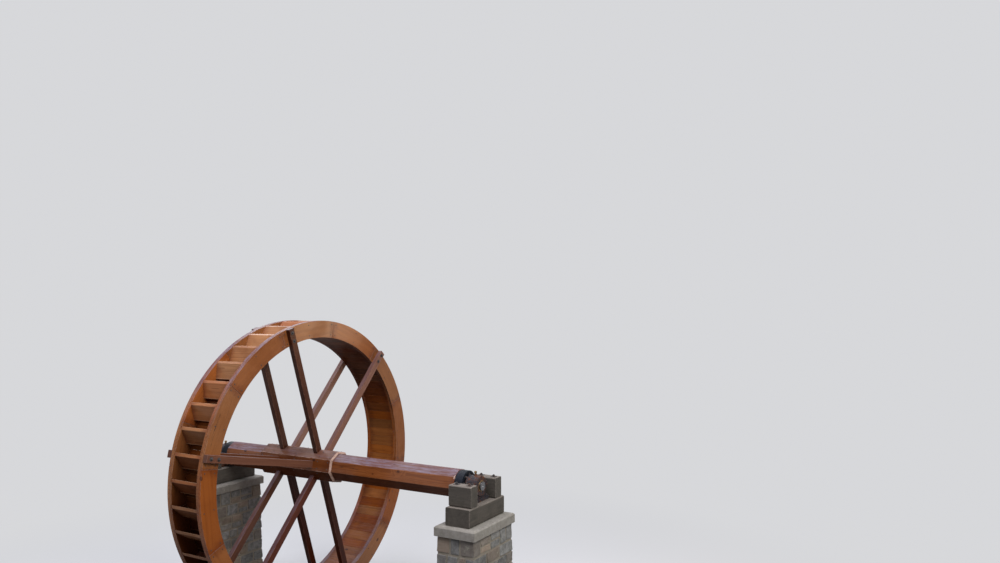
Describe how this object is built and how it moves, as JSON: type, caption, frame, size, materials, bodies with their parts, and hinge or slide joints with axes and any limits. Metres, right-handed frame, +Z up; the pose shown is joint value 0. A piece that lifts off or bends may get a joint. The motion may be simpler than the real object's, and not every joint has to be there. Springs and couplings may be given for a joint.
{
  "type": "water wheel",
  "caption": "Overshot water wheel: a wooden rim of elbow buckets between two plank shrouds, on straight arms and an eight-sided timber shaft that turns in iron bearings on two masonry piers.",
  "frame": {"origin": "on the ground, at the middle of the footprint of everything that stands on it", "axes": "+Z up; +Y along the shaft from its front (near) end to its back (far) end; +X to the right seen from the front"},
  "size_m": [4, 5.02, 4.15],
  "materials": {
    "shaft_timber": "stained and varnished softwood, glossy",
    "hub_timber": "stained and varnished boards, glossy",
    "arm_timber": "stained and varnished, red-brown",
    "shroud_timber": "stained and varnished, orange",
    "sole_timber": "stained boards, water-darkened",
    "bucket_timber": "stained boards, water-darkened",
    "ironwork": "painted dark, satin",
    "support_timber": "weathered oak",
    "padstone": "dressed stone, rough",
    "masonry": "rubble stone in lime mortar"
  },
  "bodies": {
    "supports": {"near_pier": "masonry", "near_padstone": "padstone", "near_sill": "support_timber", "near_cheeks": "support_timber", "near_bearing": "ironwork", "near_bearing_cap": "ironwork", "far_pier": "masonry", "far_padstone": "padstone", "far_sill": "support_timber", "far_cheeks": "support_timber", "far_bearing": "ironwork", "far_bearing_cap": "ironwork"},
    "wheel": {"shaft": "shaft_timber", "hub_boards_odd": "hub_timber", "hub_boards_even": "hub_timber", "near_gudgeon": "ironwork", "far_gudgeon": "ironwork", "near_arm_1": "arm_timber", "near_arm_2": "arm_timber", "near_arm_3": "arm_timber", "near_arm_4": "arm_timber", "near_arm_5": "arm_timber", "near_arm_6": "arm_timber", "far_arm_1": "arm_timber", "far_arm_2": "arm_timber", "far_arm_3": "arm_timber", "far_arm_4": "arm_timber", "far_arm_5": "arm_timber", "far_arm_6": "arm_timber", "near_outer_felloes_odd": "shroud_timber", "near_outer_felloes_even": "shroud_timber", "near_inner_felloes_odd": "shroud_timber", "near_inner_felloes_even": "shroud_timber", "far_outer_felloes_odd": "shroud_timber", "far_outer_felloes_even": "shroud_timber", "far_inner_felloes_odd": "shroud_timber", "far_inner_felloes_even": "shroud_timber", "sole_boards_odd": "sole_timber", "sole_boards_even": "sole_timber", "bucket_floors": "bucket_timber", "bucket_fronts": "bucket_timber"}
  },
  "joints": [
    {"name": "wheel_turn", "type": "hinge", "parent": "supports", "child": "wheel", "pos_m": [0, 0, 2.15], "axis": [0, 1, 0], "continuous": true}
  ]
}
